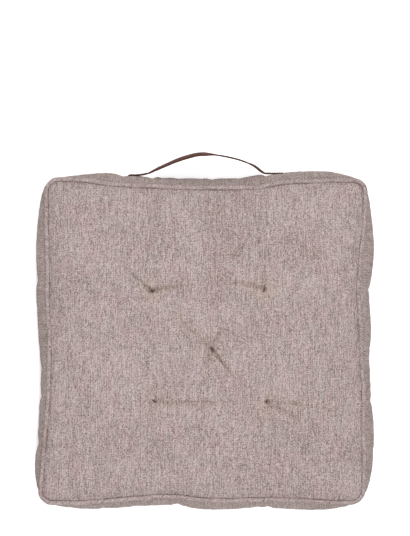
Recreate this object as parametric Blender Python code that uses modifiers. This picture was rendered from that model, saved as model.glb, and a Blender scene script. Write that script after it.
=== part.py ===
"""Square floor cushion: two tufted faces, boxing with piped seams and a leather carrying loop.

Metres, +Z up. The cushion lies flat on z = 0 with its handle towards +Y, and the origin is the middle of
its underside. Every cover piece and the filling come from two surfaces, face_point and side_point, so a
change of one size carries through to all that touch.
"""

import math

import bmesh
import bpy
from mathutils import Matrix, Vector

# The cover
SEAM_HALF = 0.2316  # from the middle of the cushion to a seam, measured near the corners
SEAM_PULL_IN = 0.008  # how much nearer the seam runs at the middle of a side
SEAM_CORNER = 0.0136  # radius of a seam's corner
BOXING_HEIGHT = 0.084  # from seam to seam
FACE_RISE = 0.0105  # how far a face swells past its seam
FLAT_SHARE = 0.52  # share of a face's half width that lies flat
SIDE_SWELL = 0.0184  # from a seam's corner out to the crest of a side
SIDE_BAND = 0.28  # share of a side's half height that stands straight, under the handle
FABRIC = 0.0008

# The piping
PIPING_RADIUS = 0.0032
CORD_PLAY = 0.0005  # between the cord and the sleeve round it
PIPING_SLIT = math.radians(50)  # the sleeve's opening, where its seam allowance leaves it

# The tufts, placed as on a dice, each with its own small stray from the template
TUFT_SPACING = 0.164
TUFT_SHIFT = (0.0065, -0.0065)
TUFT_STRAYS = ((-0.0025, -0.001), (-0.002, 0.0005), (0.003, -0.003), (0.0005, 0.002), (0.002, 0.0015))
TUFT_TURNS = (0, 75, -50, -40, 20)  # degrees, the way each stitch lies
PIT_RADIUS = 0.009
PIT_FLOOR_RADIUS = 0.005
PIT_DEPTH = 0.006
TWINE_RADIUS = 0.0008
STITCH_HALF = 0.0025  # half the distance between a stitch's two needle holes
STITCH_BEND = 0.0012
CHANNEL_RADIUS = 0.004  # the way that the twine has parted in the filling
CHANNEL_NECK = 0.008  # how far below a pit's floor the filling closes in on the twine

# The handle
STRAP_WIDTH = 0.022
STRAP_THICKNESS = 0.0021
HANDLE_SPAN = 0.1726  # between the two ends of the sewing
HANDLE_RISE = 0.029
HANDLE_SUNK = 0.0007  # how far the arch's feet lie below the side's crest
HANDLE_MIDDLE = 0.0024  # the handle sits this far right of the middle
HANDLE_BEND = 0.003  # how softly the strap leaves the side
HANDLE_HOLLOW = 0.008  # how far the side is drawn in behind the handle
SEWN_LENGTH = 0.030
SWING_INSET = 0.018  # from the end of the sewing to where the loop swings
SWING_GAP = 0.0003
THREAD_RADIUS = 0.0004
THREAD_MARGIN = 0.003

CLEARANCE = 0.0003  # between pieces that touch
LOOSE = 0.0005  # between the filling and a pit

SIDE_HALF = SEAM_HALF + SIDE_SWELL
THICKNESS = BOXING_HEIGHT + 2 * FACE_RISE
MID_HEIGHT = THICKNESS / 2
PIPING_CORD_RADIUS = PIPING_RADIUS - FABRIC - CORD_PLAY
ARCH_FOOT = SIDE_HALF - HANDLE_SUNK

# How finely the surfaces are cut up: shares along a side and shares up a side
ALONG_HALF = (0.18, 0.35, FLAT_SHARE, 0.75, 0.94, 0.97, 1.0)
ALONG = tuple(-share for share in reversed(ALONG_HALF)) + (0.0,) + ALONG_HALF
UP_HALF = (SIDE_BAND, 0.52, 0.76, 1.0)
UP = tuple(-share for share in reversed(UP_HALF)) + UP_HALF
QUARTER_TURNS = {"front": 2, "right": 3, "back": 0, "left": 1}


# ---------------------------------------------------------------- the two surfaces of the cushion


def seam_point(share):
    """The seam of the +Y side at a share from -1 to 1 along it, with its outward direction."""
    straight = SEAM_HALF - SEAM_CORNER
    along = abs(share) * SEAM_HALF
    turn = max(0.0, along - straight) / SEAM_CORNER * math.pi / 4
    x = min(along, straight) + SEAM_CORNER * math.sin(turn)
    y = straight + SEAM_CORNER * math.cos(turn) - SEAM_PULL_IN * math.cos(share * math.pi / 2) ** 2
    side = math.copysign(1.0, share)
    return Vector((side * x, y)), Vector((side * math.sin(turn), math.cos(turn)))


def turned(point, quarters):
    """A point of the +Y side, turned by quarter turns about the middle of the cushion."""
    x, y = point
    for _ in range(quarters):
        x, y = -y, x
    return Vector((x, y))


def swell(share, quarters):
    """How far a side's crest stands out past the middle of its piping."""
    seam, _ = seam_point(share)
    out = (SIDE_HALF - PIPING_RADIUS - seam.y) * (1 - share**8)
    if quarters == QUARTER_TURNS["back"]:
        hollow_half = HANDLE_SPAN / 2 + SEWN_LENGTH
        if abs(seam.x) < hollow_half:
            out -= HANDLE_HOLLOW * math.cos(seam.x / hollow_half * math.pi / 2) ** 2
    return out


def side_point(share, up, quarters, inset=0.0):
    """A point of a side's outer surface, inset square to the surface towards the filling."""
    seam, outward = seam_point(share)
    half_height = BOXING_HEIGHT / 2 - PIPING_RADIUS - CLEARANCE
    beyond = max(0.0, (abs(up) - SIDE_BAND) / (1 - SIDE_BAND))
    crest = max(0.0, swell(share, quarters))
    lean = crest * 2 * beyond / ((1 - SIDE_BAND) * half_height)
    out = PIPING_RADIUS + crest * (1 - beyond**2) - inset * math.hypot(1, lean)
    x, y = turned(seam + outward * out, quarters)
    return Vector((x, y, MID_HEIGHT + up * half_height))


def face_point(u, v, upward, inset=0.0, edge_gap=CLEARANCE):
    """A point of a face's outer surface; u and v run from -1 to 1 and upward is 1 or -1."""
    reach = max(abs(u), abs(v))
    if reach == 0:
        x, y = 0.0, 0.0
    else:
        if abs(v) >= abs(u):
            quarters = QUARTER_TURNS["back"] if v > 0 else QUARTER_TURNS["front"]
            share = u / reach if v > 0 else -u / reach
        else:
            quarters = QUARTER_TURNS["right"] if u > 0 else QUARTER_TURNS["left"]
            share = -v / reach if u > 0 else v / reach
        seam, _ = seam_point(share)
        x, y = turned(seam * reach * (1 - edge_gap / SEAM_HALF), quarters)
    rise = FACE_RISE
    for share in (u, v):
        rise *= 1 - max(0.0, (abs(share) - FLAT_SHARE) / (1 - FLAT_SHARE)) ** 2
    return Vector((x, y, MID_HEIGHT + upward * (BOXING_HEIGHT / 2 + rise - inset)))


# ---------------------------------------------------------------- scene, materials and helpers


def clear_scene():
    for item in list(bpy.data.objects):
        bpy.data.objects.remove(item, do_unlink=True)


def new_collection(name):
    collection = bpy.data.collections.new(name)
    bpy.context.scene.collection.children.link(collection)
    return collection


def new_material(name, colour, roughness):
    material = bpy.data.materials.new(name)
    material.use_nodes = True
    shader = material.node_tree.nodes["Principled BSDF"]
    shader.inputs["Base Color"].default_value = (*colour, 1)
    shader.inputs["Roughness"].default_value = roughness
    shader.inputs["Metallic"].default_value = 0
    return material


def add_object(name, data, collection, material=None):
    item = bpy.data.objects.new(name, data)
    collection.objects.link(item)
    if material:
        data.materials.append(material)
    return item


def mesh_from(name, shape):
    """A bmesh, with its faces turned outwards, as a mesh."""
    bmesh.ops.recalc_face_normals(shape, faces=shape.faces)
    mesh = bpy.data.meshes.new(name)
    shape.to_mesh(mesh)
    shape.free()
    return mesh


def add_grid(shape, rows, columns, place):
    """Adds a flat grid to a bmesh and bends it to shape, each corner placed by place(row, column)."""
    across = len(columns) - 1
    up = len(rows) - 1
    grid = bmesh.ops.create_grid(shape, x_segments=across, y_segments=up, size=1)
    for corner in grid["verts"]:
        column = columns[round((corner.co.x + 1) / 2 * across)]
        row = rows[round((corner.co.y + 1) / 2 * up)]
        corner.co = place(row, column)


def solidify(item, thickness):
    """Gives a sheet its thickness, all of it behind its face."""
    modifier = item.modifiers.new("cloth thickness", "SOLIDIFY")
    modifier.thickness = thickness
    modifier.offset = -1
    modifier.use_even_offset = True


def boolean(item, other, operation):
    modifier = item.modifiers.new(other.name, "BOOLEAN")
    modifier.operation = operation
    modifier.solver = "EXACT"
    modifier.object = other


def hide_cutter(cutter):
    cutter.hide_render = True
    cutter.display_type = "WIRE"


def add_cutter(name, shape, collection):
    cutter = add_object(name, mesh_from(name, shape), collection)
    hide_cutter(cutter)
    return cutter


# ---------------------------------------------------------------- tufts


def tuft_places():
    """The five tufts' middles, row by row from the handle's side, with the turn of each stitch."""
    half = TUFT_SPACING / 2
    template = ((-half, half), (half, half), (0, 0), (-half, -half), (half, -half))
    for (x, y), (stray_x, stray_y), turn in zip(template, TUFT_STRAYS, TUFT_TURNS):
        yield x + TUFT_SHIFT[0] + stray_x, y + TUFT_SHIFT[1] + stray_y, math.radians(turn)


def add_cone(shape, x, y, top_radius, top, bottom_radius, bottom, segments=12):
    """Adds an upright cone, cut off at both ends, to a bmesh."""
    middle = Matrix.Translation((x, y, (top + bottom) / 2))
    bmesh.ops.create_cone(shape, cap_ends=True, segments=segments, radius1=bottom_radius, radius2=top_radius,
                          depth=top - bottom, matrix=middle)


def face_height(upward, depth):
    """The height of a level that lies depth below the flat of a face."""
    return MID_HEIGHT + upward * (THICKNESS / 2 - depth)


def pit_slope():
    return (PIT_RADIUS - PIT_FLOOR_RADIUS) / PIT_DEPTH


def pit_cone(name, upward, spread, start, end, collection):
    """A cone at each tuft, spread wider than its pit, between two depths below the flat of a face."""
    shape = bmesh.new()
    levels = []
    for depth in (start, end):
        radius = PIT_RADIUS - depth * pit_slope() if depth < PIT_DEPTH else PIT_FLOOR_RADIUS
        levels.append((face_height(upward, depth), radius + spread))
    (bottom, bottom_radius), (top, top_radius) = sorted(levels)
    for x, y, _ in tuft_places():
        add_cone(shape, x, y, top_radius, top, bottom_radius, bottom)
    return add_cutter(f"{name}_{'top' if upward > 0 else 'bottom'}", shape, collection)


def pit_blocks(upward, collection):
    """The cloth round and under each pit, before the pit is cut."""
    return pit_cone("pit_blocks", upward, FABRIC, FABRIC / 2, PIT_DEPTH + FABRIC, collection)


def pit_hollows(upward, collection):
    """The pits themselves, running out past the face."""
    return pit_cone("pit_hollows", upward, 0, -FABRIC, PIT_DEPTH, collection)


def needle_holes(collection):
    """The two holes of each tuft's stitch, through both faces."""
    shape = bmesh.new()
    radius = TWINE_RADIUS + CLEARANCE
    for x, y, turn in tuft_places():
        for side in (-1, 1):
            hole_x = x + side * STITCH_HALF * math.cos(turn)
            hole_y = y + side * STITCH_HALF * math.sin(turn)
            add_cone(shape, hole_x, hole_y, radius, THICKNESS, radius, 0, segments=8)
    return add_cutter("needle_holes", shape, collection)


def filling_channels(collection):
    """Where the filling gives way to the pits and to the twine between them: one turned profile at each tuft."""
    profile = []
    for upward in (1, -1):
        rim = (PIT_RADIUS + FABRIC + LOOSE + FABRIC * pit_slope(), face_height(upward, -FABRIC))
        floor = (PIT_FLOOR_RADIUS + FABRIC + LOOSE, face_height(upward, PIT_DEPTH + FABRIC + LOOSE))
        neck = (CHANNEL_RADIUS, face_height(upward, PIT_DEPTH + CHANNEL_NECK))
        end = (0, rim[1])
        profile += [end, rim, floor, neck] if upward > 0 else [neck, floor, rim, end]
    shape = bmesh.new()
    corners = [shape.verts.new((radius, 0, height)) for radius, height in profile]
    for upper, lower in zip(corners, corners[1:]):
        shape.edges.new((upper, lower))
    mesh = bpy.data.meshes.new("filling_channel")
    shape.to_mesh(mesh)
    shape.free()
    channels = []
    for number, (x, y, _) in enumerate(tuft_places(), 1):
        channel = add_object(f"filling_channel_{number}", mesh, collection)
        channel.location = (x, y, 0)
        turning = channel.modifiers.new("turned", "SCREW")
        turning.steps = 12
        turning.render_steps = 12
        turning.use_merge_vertices = True
        turning.merge_threshold = 0.0001
        hide_cutter(channel)
        channels.append(channel)
    return channels


def add_tuft_ties(collection, material):
    """Each tie is one loop of twine: a bar on each face's pit floor and a strand through each hole."""
    bar_depth = PIT_DEPTH - CLEARANCE - TWINE_RADIUS
    top = face_height(1, bar_depth)
    bottom = face_height(-1, bar_depth)
    corner_steps = 3
    for number, (x, y, turn) in enumerate(tuft_places(), 1):
        inner = STITCH_HALF - STITCH_BEND
        centres = ((inner, top - STITCH_BEND), (-inner, top - STITCH_BEND),
                   (-inner, bottom + STITCH_BEND), (inner, bottom + STITCH_BEND))
        points = []
        for corner, (along, height) in enumerate(centres):
            for step in range(corner_steps + 1):
                angle = (corner + step / corner_steps) * math.pi / 2
                points.append((along + STITCH_BEND * math.cos(angle), height + STITCH_BEND * math.sin(angle)))
        places = [(x + a * math.cos(turn), y + a * math.sin(turn), z) for a, z in points]
        add_tube(f"tuft_tie_{number}", places, TWINE_RADIUS, collection, material, closed=True)


def add_tube(name, places, radius, collection, material, closed):
    curve = bpy.data.curves.new(name, "CURVE")
    curve.dimensions = "3D"
    curve.bevel_depth = radius
    curve.bevel_resolution = 1
    curve.use_fill_caps = not closed
    spline = curve.splines.new("POLY")
    spline.points.add(len(places) - 1)
    for point, place in zip(spline.points, places):
        point.co = (*place, 1)
    spline.use_cyclic_u = closed
    return add_object(name, curve, collection, material)


# ---------------------------------------------------------------- cover and filling


def add_face(name, upward, collection, cutters, holes, material):
    shape = bmesh.new()
    add_grid(shape, ALONG, ALONG, lambda v, u: face_point(u, v, upward))
    if upward < 0:
        bmesh.ops.reverse_faces(shape, faces=shape.faces)
    mesh = bpy.data.meshes.new(name)
    shape.to_mesh(mesh)
    shape.free()
    face = add_object(name, mesh, collection, material)
    solidify(face, FABRIC)
    boolean(face, pit_blocks(upward, cutters), "UNION")
    boolean(face, pit_hollows(upward, cutters), "DIFFERENCE")
    boolean(face, holes, "DIFFERENCE")


def add_boxing(name, quarters, collection, material):
    """One strip of boxing, its ends a clearance short of the corner seams."""
    end = 1 - CLEARANCE / SEAM_HALF
    shares = [max(-end, min(end, share)) for share in ALONG]
    shape = bmesh.new()
    add_grid(shape, UP, shares, lambda up, share: side_point(share, up, quarters))
    bmesh.ops.reverse_faces(shape, faces=shape.faces)
    mesh = bpy.data.meshes.new(name)
    shape.to_mesh(mesh)
    shape.free()
    solidify(add_object(name, mesh, collection, material), FABRIC)


def filling_point(share, up, quarters, inset, edge_gap):
    """A point of a side of the filling; beyond the boxing's edges it is the edge of a face."""
    if abs(up) <= 1:
        return side_point(share, up, quarters, inset)
    seam, _ = seam_point(share)
    x, y = turned(seam * (1 - edge_gap / SEAM_HALF), quarters)
    return Vector((x, y, MID_HEIGHT + math.copysign(BOXING_HEIGHT / 2 - inset, up)))


def add_filling(collection, channels, material):
    """The wadding: both faces and all four sides, a cloth's thickness and a clearance inside the cover."""
    inset = FABRIC + CLEARANCE
    edge_gap = 2 * FABRIC + CLEARANCE
    shape = bmesh.new()
    for upward in (1, -1):
        add_grid(shape, ALONG, ALONG, lambda v, u: face_point(u, v, upward, inset, edge_gap))
    to_faces = 2 * UP[-1]
    rows = (-to_faces, *UP, to_faces)
    for quarters in range(4):
        add_grid(shape, rows, ALONG, lambda up, share: filling_point(share, up, quarters, inset, edge_gap))
    bmesh.ops.remove_doubles(shape, verts=shape.verts, dist=0.00005)
    filling = add_object("filling", mesh_from("filling", shape), collection, material)
    for channel in channels:
        boolean(filling, channel, "DIFFERENCE")


# ---------------------------------------------------------------- piping


def piping_line(upward):
    """The middle of the piping, all round a seam."""
    for quarters in range(4):
        for share in reversed(ALONG[1:]):
            seam, outward = seam_point(share)
            x, y = turned(seam + outward * PIPING_RADIUS, quarters)
            yield x, y, MID_HEIGHT + upward * BOXING_HEIGHT / 2


def sleeve_profile(collection):
    """The sleeve's round outline, open towards the filling."""
    steps = 7
    curve = bpy.data.curves.new("sleeve_profile", "CURVE")
    curve.dimensions = "2D"
    spline = curve.splines.new("POLY")
    spline.points.add(steps)
    for step, point in enumerate(spline.points):
        angle = PIPING_SLIT / 2 + step / steps * (math.tau - PIPING_SLIT)
        point.co = (-PIPING_RADIUS * math.cos(angle), PIPING_RADIUS * math.sin(angle), 0, 1)
    profile = add_object("sleeve_profile", curve, collection)
    hide_cutter(profile)
    return profile


def add_piping(name, upward, profile, collection, sleeve_material, cord_material):
    """A fabric sleeve swept round the seam, and the cord that fills it."""
    line = list(piping_line(upward))
    sleeve = add_tube(name, line, 0, collection, sleeve_material, closed=True)
    sleeve.data.bevel_mode = "OBJECT"
    sleeve.data.bevel_object = profile
    sleeve.data.twist_mode = "Z_UP"
    solidify(sleeve, FABRIC)
    add_tube(f"{name}_cord", line, PIPING_CORD_RADIUS, collection, cord_material, closed=True)


# ---------------------------------------------------------------- handle


def side_crest(x):
    """How far out the straight band of the back side stands at x, along its flat stretches."""
    crests = []
    for share in ALONG:
        place = side_point(share, 0, QUARTER_TURNS["back"])
        crests.append((place.x, place.y))
    for (x_low, y_low), (x_high, y_high) in zip(crests, crests[1:]):
        if x_low <= x <= x_high:
            return y_low + (y_high - y_low) * (x - x_low) / (x_high - x_low)
    return crests[0][1]


def strap_line(x):
    """The strap's middle line: sewn flat to the side, then an arch, with a soft bend between the two."""
    sewn = side_crest(x) + CLEARANCE + STRAP_THICKNESS / 2
    arch = ARCH_FOOT + HANDLE_RISE * math.cos(math.pi * (x - HANDLE_MIDDLE) / HANDLE_SPAN)
    return (sewn + arch + math.hypot(sewn - arch, HANDLE_BEND)) / 2


def strap_stretch(name, start, end, steps, collection, material):
    """A stretch of the strap between two upright planes, as a flat outline extruded by its width."""
    outer = []
    inner = []
    for step in range(steps + 1):
        x = start + (end - start) * step / steps
        probe = 0.0005
        slope = (strap_line(x + probe) - strap_line(x - probe)) / (2 * probe)
        half = STRAP_THICKNESS / 2 * math.hypot(1, slope)
        outer.append((x, strap_line(x) + half))
        inner.append((x, strap_line(x) - half))
    curve = bpy.data.curves.new(name, "CURVE")
    curve.dimensions = "2D"
    curve.fill_mode = "BOTH"
    curve.extrude = STRAP_WIDTH / 2
    spline = curve.splines.new("POLY")
    outline = outer + inner[::-1]
    spline.points.add(len(outline) - 1)
    for point, (x, y) in zip(spline.points, outline):
        point.co = (x - HANDLE_MIDDLE, y - swing_y(), 0, 1)
    spline.use_cyclic_u = True
    stretch = add_object(name, curve, collection, material)
    stretch.location = (HANDLE_MIDDLE, swing_y(), MID_HEIGHT)
    return stretch


def swing_y():
    """Where the axis of the handle's swing lies, on the strap's middle line."""
    return strap_line(HANDLE_MIDDLE - HANDLE_SPAN / 2 + SWING_INSET)


def add_handle(collection, leather, thread):
    foot = HANDLE_SPAN / 2
    cut = foot - SWING_INSET
    far = foot + SEWN_LENGTH
    pivot = bpy.data.objects.new("handle_swing_axis", None)
    pivot.location = (HANDLE_MIDDLE, swing_y(), MID_HEIGHT)
    collection.objects.link(pivot)
    loop = strap_stretch("handle_loop", HANDLE_MIDDLE - cut + SWING_GAP / 2,
                         HANDLE_MIDDLE + cut - SWING_GAP / 2, 26, collection, leather)
    loop.parent = pivot
    loop.location = (0, 0, 0)
    for name, side in (("left", -1), ("right", 1)):
        ends = sorted((HANDLE_MIDDLE + side * far, HANDLE_MIDDLE + side * (cut + SWING_GAP / 2)))
        strap_stretch(f"handle_end_{name}", *ends, 14, collection, leather)
        add_handle_stitching(name, side, foot, far, collection, thread)


def add_handle_stitching(name, side, foot, far, collection, thread):
    """The thread's run round a strap end, lying on the leather."""
    near_x = foot + THREAD_MARGIN
    far_x = far - THREAD_MARGIN
    half = STRAP_WIDTH / 2 - THREAD_MARGIN
    steps = 4
    runs = [near_x + (far_x - near_x) * step / steps for step in range(steps + 1)]
    corners = [(x, half) for x in runs] + [(x, -half) for x in reversed(runs)]
    places = []
    for x, up in corners:
        along = HANDLE_MIDDLE + side * x
        y = strap_line(along) + STRAP_THICKNESS / 2 + CLEARANCE + THREAD_RADIUS
        places.append((along, y, MID_HEIGHT + up))
    add_tube(f"handle_stitching_{name}", places, THREAD_RADIUS, collection, thread, closed=True)


# ---------------------------------------------------------------- the cushion


def build():
    clear_scene()
    parts = new_collection("floor_cushion")
    cutters = new_collection("cutters")
    cloth = new_material("cotton_linen", (0.44, 0.35, 0.34), 0.95)
    piping_cloth = new_material("piping_cloth", (0.46, 0.37, 0.36), 0.95)
    cotton = new_material("cotton_cord", (0.80, 0.76, 0.68), 0.9)
    wadding = new_material("wadding", (0.86, 0.84, 0.80), 1.0)
    twine = new_material("waxed_twine", (0.16, 0.12, 0.10), 0.7)
    leather = new_material("bridle_leather", (0.050, 0.026, 0.018), 0.45)
    thread = new_material("leather_thread", (0.06, 0.035, 0.025), 0.6)

    holes = needle_holes(cutters)
    add_face("top_panel", 1, parts, cutters, holes, cloth)
    add_face("bottom_panel", -1, parts, cutters, holes, cloth)
    for name, quarters in QUARTER_TURNS.items():
        add_boxing(f"boxing_{name}", quarters, parts, cloth)
    add_filling(parts, filling_channels(cutters), wadding)
    profile = sleeve_profile(cutters)
    add_piping("top_piping", 1, profile, parts, piping_cloth, cotton)
    add_piping("bottom_piping", -1, profile, parts, piping_cloth, cotton)
    add_tuft_ties(parts, twine)
    add_handle(parts, leather, thread)


build()
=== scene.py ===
import math

import bmesh
import bpy
import mathutils
import numpy as np
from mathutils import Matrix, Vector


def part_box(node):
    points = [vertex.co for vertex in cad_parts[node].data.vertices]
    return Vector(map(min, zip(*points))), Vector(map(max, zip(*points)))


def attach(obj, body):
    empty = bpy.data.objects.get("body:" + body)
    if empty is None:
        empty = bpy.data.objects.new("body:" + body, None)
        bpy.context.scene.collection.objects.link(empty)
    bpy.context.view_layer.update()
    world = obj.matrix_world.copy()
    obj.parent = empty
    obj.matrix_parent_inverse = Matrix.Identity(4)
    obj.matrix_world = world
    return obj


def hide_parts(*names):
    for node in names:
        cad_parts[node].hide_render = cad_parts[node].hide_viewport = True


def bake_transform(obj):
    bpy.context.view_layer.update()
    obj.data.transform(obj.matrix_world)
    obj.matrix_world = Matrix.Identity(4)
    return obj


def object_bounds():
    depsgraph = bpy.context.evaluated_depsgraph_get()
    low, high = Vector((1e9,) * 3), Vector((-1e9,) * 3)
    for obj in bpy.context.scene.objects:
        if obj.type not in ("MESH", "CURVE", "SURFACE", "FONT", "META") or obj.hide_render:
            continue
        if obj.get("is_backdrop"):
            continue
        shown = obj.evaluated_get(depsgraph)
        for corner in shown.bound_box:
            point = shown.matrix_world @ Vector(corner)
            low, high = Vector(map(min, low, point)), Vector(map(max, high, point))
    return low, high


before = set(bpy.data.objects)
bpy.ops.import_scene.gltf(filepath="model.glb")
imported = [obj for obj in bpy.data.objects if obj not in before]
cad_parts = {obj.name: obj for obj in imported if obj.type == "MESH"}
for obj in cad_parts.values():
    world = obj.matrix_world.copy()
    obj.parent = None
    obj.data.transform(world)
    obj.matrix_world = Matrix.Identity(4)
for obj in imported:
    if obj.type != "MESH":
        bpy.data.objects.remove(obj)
cad_low, cad_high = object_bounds()


# ---------------------------------------------------------------------------------------------
# Cover and filling. Two panels and four boxing strips of slubby cotton-linen canvas, sewn inside
# out along the piping, turned and packed with cotton wadding until the sides swell. The panels
# are pulled down at five tufts, and the boxing stays slack where the sewing gathers it.

PIPING_RADIUS = 0.0032
SEAM_HEIGHT = {name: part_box(f"{name}_piping")[0].z + PIPING_RADIUS for name in ("top", "bottom")}
SEAM_CORNER = 0.018
# The panel rises steeply off its seam, then gently towards the crown.
FACE_RISE = 0.0078
FACE_RISE_REACH = 0.0020
CROWN_RISE = 0.0088
CROWN_REACH = 0.034
UNDER_SEAM = 0.0038  # how far from the piping's middle the cloth leaves it
# The size of a cell of cloth, and how it gets finer near the tufts and the seams
CELL = 0.0064
FINE_CELL = 0.0030
FINE_REACH = 0.010
BOXING_ROWS = 16
BOXING_SWEEP = math.radians(54)  # how much of an arc the boxing's swell is, either way from level

# Along each side: the distance from its middle, how far out the seam lies there, and how far out
# the boxing swells below it.
SIDES = {
    "back": (
        (-0.219, 0.2388, 0.2425), (-0.183, 0.2378, 0.2465), (-0.148, 0.2335, 0.2500),
        (-0.118, 0.2308, 0.2462), (-0.075, 0.2286, 0.2432), (0.000, 0.2266, 0.2412),
        (0.050, 0.2266, 0.2425), (0.086, 0.2290, 0.2470), (0.110, 0.2335, 0.2490),
        (0.150, 0.2362, 0.2515), (0.190, 0.2377, 0.2512), (0.216, 0.2370, 0.2440),
    ),
    "right": (
        (-0.219, 0.2325, 0.2420), (-0.190, 0.2335, 0.2475), (-0.140, 0.2331, 0.2507),
        (-0.085, 0.2328, 0.2470), (-0.030, 0.2305, 0.2442), (0.025, 0.2283, 0.2466),
        (0.075, 0.2254, 0.2440), (0.100, 0.2268, 0.2478), (0.140, 0.2300, 0.2510),
        (0.175, 0.2342, 0.2486), (0.218, 0.2354, 0.2410),
    ),
    "front": (
        (-0.219, 0.2355, 0.2440), (-0.185, 0.2364, 0.2485), (-0.145, 0.2330, 0.2480),
        (-0.095, 0.2291, 0.2450), (-0.045, 0.2266, 0.2442), (-0.005, 0.2314, 0.2495),
        (0.025, 0.2331, 0.2500), (0.080, 0.2310, 0.2468), (0.145, 0.2328, 0.2500),
        (0.190, 0.2353, 0.2485), (0.216, 0.2355, 0.2430),
    ),
    "left": (
        (-0.219, 0.2415, 0.2498), (-0.188, 0.2390, 0.2530), (-0.150, 0.2358, 0.2490),
        (-0.090, 0.2308, 0.2455), (-0.045, 0.2290, 0.2440), (0.005, 0.2282, 0.2470),
        (0.050, 0.2308, 0.2496), (0.100, 0.2311, 0.2502), (0.150, 0.2322, 0.2500),
        (0.190, 0.2326, 0.2470), (0.218, 0.2330, 0.2425),
    ),
}
# How each side's own "along" and "out" turn into x and y, walking round the cushion one way
SIDE_AXES = {
    "front": ((1, 0), (0, -1)),
    "right": ((0, 1), (1, 0)),
    "back": ((-1, 0), (0, 1)),
    "left": ((0, -1), (-1, 0)),
}
ORDER = ("front", "right", "back", "left")


def eased(stations, values, at):
    """A smooth line through the given stations."""
    stations = np.asarray(stations, float)
    values = np.asarray(values, float)
    slopes = np.gradient(values, stations)
    i = np.clip(np.searchsorted(stations, at) - 1, 0, len(stations) - 2)
    step = stations[i + 1] - stations[i]
    t = np.clip((at - stations[i]) / step, 0, 1)
    return ((2 * t**3 - 3 * t**2 + 1) * values[i] + (t**3 - 2 * t**2 + t) * step * slopes[i]
            + (3 * t**2 - 2 * t**3) * values[i + 1] + (t**3 - t**2) * step * slopes[i + 1])


def side_stations(side):
    """Stations of a side, told in the direction that the walk round the cushion takes."""
    along, seam, crest = np.array(SIDES[side]).T
    if side in ("back", "left"):
        return -along[::-1], seam[::-1], crest[::-1]
    return along, seam, crest


def corner_out(side, end):
    """How far out the neighbour's seam lies where this side ends."""
    step = 1 if end > 0 else -1
    neighbour = ORDER[(ORDER.index(side) + step) % 4]
    seam = side_stations(neighbour)[1]
    return seam[0] if end > 0 else seam[-1]


def side_line(side, share):
    """A side's seam in plan and the boxing's swell: share runs -1 to 1, between rounded corners."""
    along, seam, crest = side_stations(side)
    ends = np.where(share > 0, corner_out(side, 1), corner_out(side, -1))
    straight = ends - SEAM_CORNER
    arc = SEAM_CORNER * math.pi / 4
    travel = np.abs(share) * (straight + arc)
    bend = np.clip((travel - straight) / arc, 0, 1) * math.pi / 4
    reach = np.sign(share) * np.where(travel < straight, travel, straight + SEAM_CORNER * np.sin(bend))
    out = eased(along, seam, np.clip(reach, along[0], along[-1]))
    swell = eased(along, crest - seam, np.clip(reach, along[0], along[-1]))
    swell = swell * (1 - 0.8 * (bend / (math.pi / 4)) ** 0.7)
    out = out - SEAM_CORNER * (1 - np.cos(bend))
    (ax, ay), (ox, oy) = SIDE_AXES[side]
    return np.stack([ax * reach + ox * out, ay * reach + oy * out], -1), swell


def spread_lines(fine_places):
    """Shares from -1 to 1 whose spacing tightens near the fine places and the edges."""
    fine = np.linspace(-PANEL_HALF, PANEL_HALF, 4001)
    edges = (-PANEL_HALF, PANEL_HALF)
    nearness = [np.exp(-(((fine - place) / FINE_REACH) ** 2)) for place in (*fine_places, *edges)]
    wanted = CELL - (CELL - FINE_CELL) * np.max(nearness, axis=0)
    count = np.concatenate([[0], np.cumsum((fine[1] - fine[0]) / wanted[1:])])
    whole = int(round(count[-1]))
    return np.interp(np.linspace(0, count[-1], whole + 1), count, fine) / PANEL_HALF


TUFTS = [((low + high) / 2) for low, high in (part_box(f"tuft_tie_{i}") for i in range(1, 6))]
TUFT_DEPTH = 0.0105
TUFT_REACH = 0.017
PANEL_HALF = 0.235  # a panel's usual half width, for spacing its cells

across_lines = spread_lines([t.x for t in TUFTS])
up_lines = spread_lines([t.y for t in TUFTS])


def face_plan():
    """The panel's grid in plan, filled in between its four sewn edges."""
    front = side_line("front", across_lines)[0]
    back = side_line("back", -across_lines)[0]
    right = side_line("right", up_lines)[0]
    left = side_line("left", -up_lines)[0]
    u = (across_lines + 1)[:, None, None] / 2
    v = (up_lines + 1)[None, :, None] / 2
    corners = (1 - v) * ((1 - u) * front[0] + u * front[-1]) + v * ((1 - u) * back[0] + u * back[-1])
    return (1 - v) * front[:, None] + v * back[:, None] + (1 - u) * left[None] + u * right[None] - corners


def seam_distance(points, loop):
    """Distance of each plan point to the closed seam line, and how far along the line it is."""
    run = np.concatenate([[0], np.cumsum(np.linalg.norm(np.roll(loop, -1, 0) - loop, axis=1))])
    steps = np.arange(0, run[-1], 0.0008)
    closed = np.vstack([loop, loop[:1]])
    line = np.column_stack([np.interp(steps, run, closed[:, 0]), np.interp(steps, run, closed[:, 1])])
    tree = mathutils.kdtree.KDTree(len(line))
    for i, (x, y) in enumerate(line):
        tree.insert((x, y, 0), i)
    tree.balance()
    found = [tree.find((x, y, 0)) for x, y in points]
    return np.array([f[2] for f in found]), steps[[f[1] for f in found]]


def seam_loop(count=72):
    """The closed seam line in plan."""
    shares = np.linspace(-1, 1, count + 1)[:-1]
    return np.concatenate([side_line(side, shares)[0] for side in ORDER])


def tuft_pull(points):
    """How far the five tufts pull the panel in at each plan point, 0 to 1."""
    pull = np.zeros(len(points))
    for tuft in TUFTS:
        away = np.hypot(points[:, 0] - tuft.x, points[:, 1] - tuft.y)
        pull = np.maximum(pull, np.exp(-away / TUFT_REACH))
    return pull


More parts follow.
